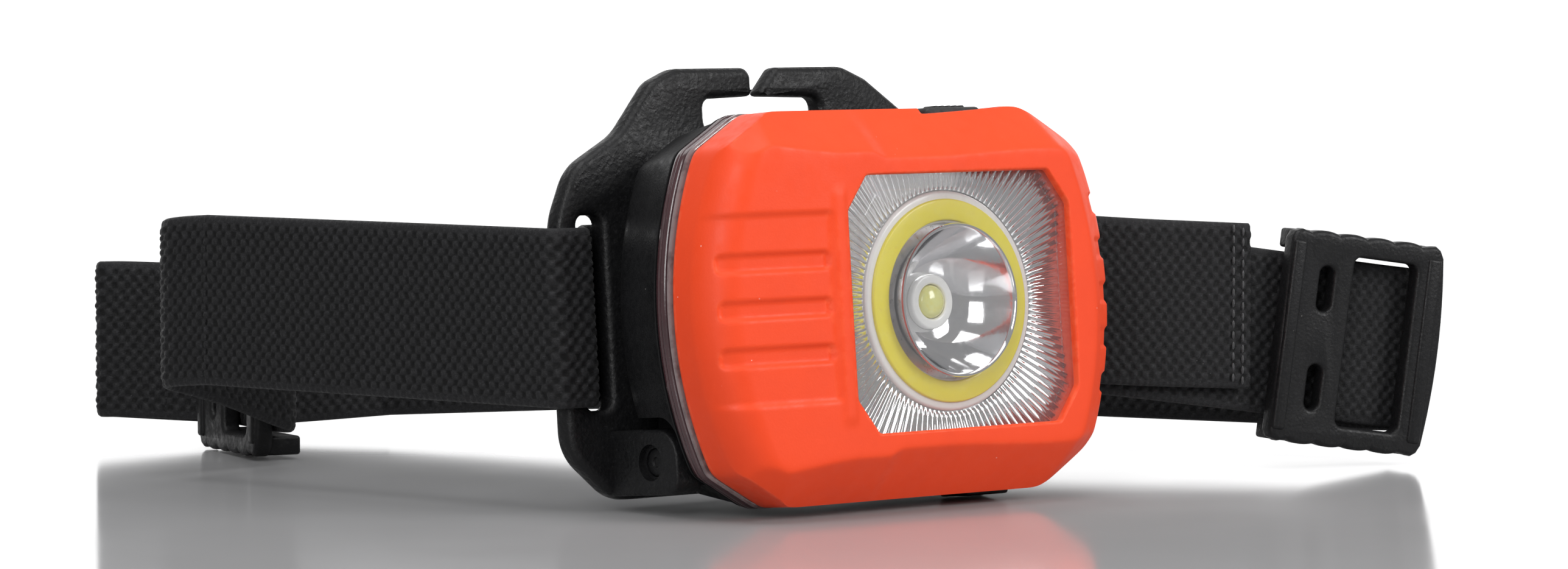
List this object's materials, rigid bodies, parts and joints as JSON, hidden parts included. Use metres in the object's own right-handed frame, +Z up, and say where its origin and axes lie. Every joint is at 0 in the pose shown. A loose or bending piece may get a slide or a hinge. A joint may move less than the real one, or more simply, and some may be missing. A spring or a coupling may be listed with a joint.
{
  "type": "headlamp",
  "caption": "Headlamp with a faceted shell, clear window over a ring light and a spot cup, on a tilting bracket with an elastic headband and sliders.",
  "frame": {"origin": "centre of the bounding box in plan, on the surface that the headlamp stands on", "axes": "+Z up, the lamp looks along -Y, +X to the right of someone facing the lamp"},
  "size_m": [0.1674, 0.1719, 0.0615],
  "materials": {
    "orange_shell": "soft moulded, fine matt texture",
    "clear_lens": "clear polished plastic",
    "mirror_chrome": "vacuum-metallised mirror",
    "white_board": "white coated board",
    "yellow_phosphor": "silicone phosphor",
    "bare_aluminium": "plain",
    "black_rubber": "matt",
    "smoky_plastic": "smoky translucent",
    "black_plastic": "fine spark texture",
    "steel": "plated",
    "green_board": "solder mask",
    "cell_jacket": "printed sleeve, plain",
    "black_elastic": "woven elastic webbing"
  },
  "bodies": {
    "root": {"tilt_bracket": "black_plastic", "hinge_pin_left": "steel", "hinge_pin_right": "steel", "band_forehead": "black_elastic", "band_left": "black_elastic", "band_left_fold": "black_elastic", "band_tail": "black_elastic", "band_rear": "black_elastic", "band_right": "black_elastic", "band_sewn_end": "black_elastic"},
    "head": {"front_bezel": "orange_shell", "window_lens": "clear_lens", "fluted_reflector": "mirror_chrome", "ring_board": "white_board", "ring_phosphor": "yellow_phosphor", "spot_reflector": "mirror_chrome", "chip_collar": "white_board", "spot_chip": "yellow_phosphor", "chip_board": "white_board", "heat_plate": "bare_aluminium", "seal_gasket": "black_rubber", "seal_frame": "smoky_plastic", "rear_housing": "black_plastic", "housing_screws": "steel", "main_board": "green_board", "button_switch": "black_plastic", "cell_left": "cell_jacket", "cell_middle": "cell_jacket", "cell_right": "cell_jacket", "upper_contact_strip": "steel", "lower_contact_strip": "steel", "contact_springs": "steel"},
    "power_button": {"power_button": "black_rubber"},
    "slider_left": {"slider_left": "black_plastic"},
    "slider_right": {"slider_right": "black_plastic"}
  },
  "joints": [
    {"name": "head_tilt", "type": "hinge", "parent": "root", "child": "head", "pos_m": [-0.0282, -0.06289, 0.00732], "axis": [1, 0, 0], "range_deg": [0, 60]},
    {"name": "power_button_press", "type": "slide", "parent": "head", "child": "power_button", "axis": [0, -0.0872, -0.9962], "range_m": [0, 0.0008], "stiffness_N_per_m": 1200, "springref_m": -0.0005},
    {"name": "slider_right_slide", "type": "slide", "parent": "root", "child": "slider_right", "axis": [-0.954, 0.2664, 0.1374], "range_m": [-0.005, 0.0025]},
    {"name": "slider_left_slide", "type": "slide", "parent": "root", "child": "slider_left", "axis": [-0.2571, -0.9662, 0.0175], "range_m": [-0.0025, 0.0025]}
  ]
}
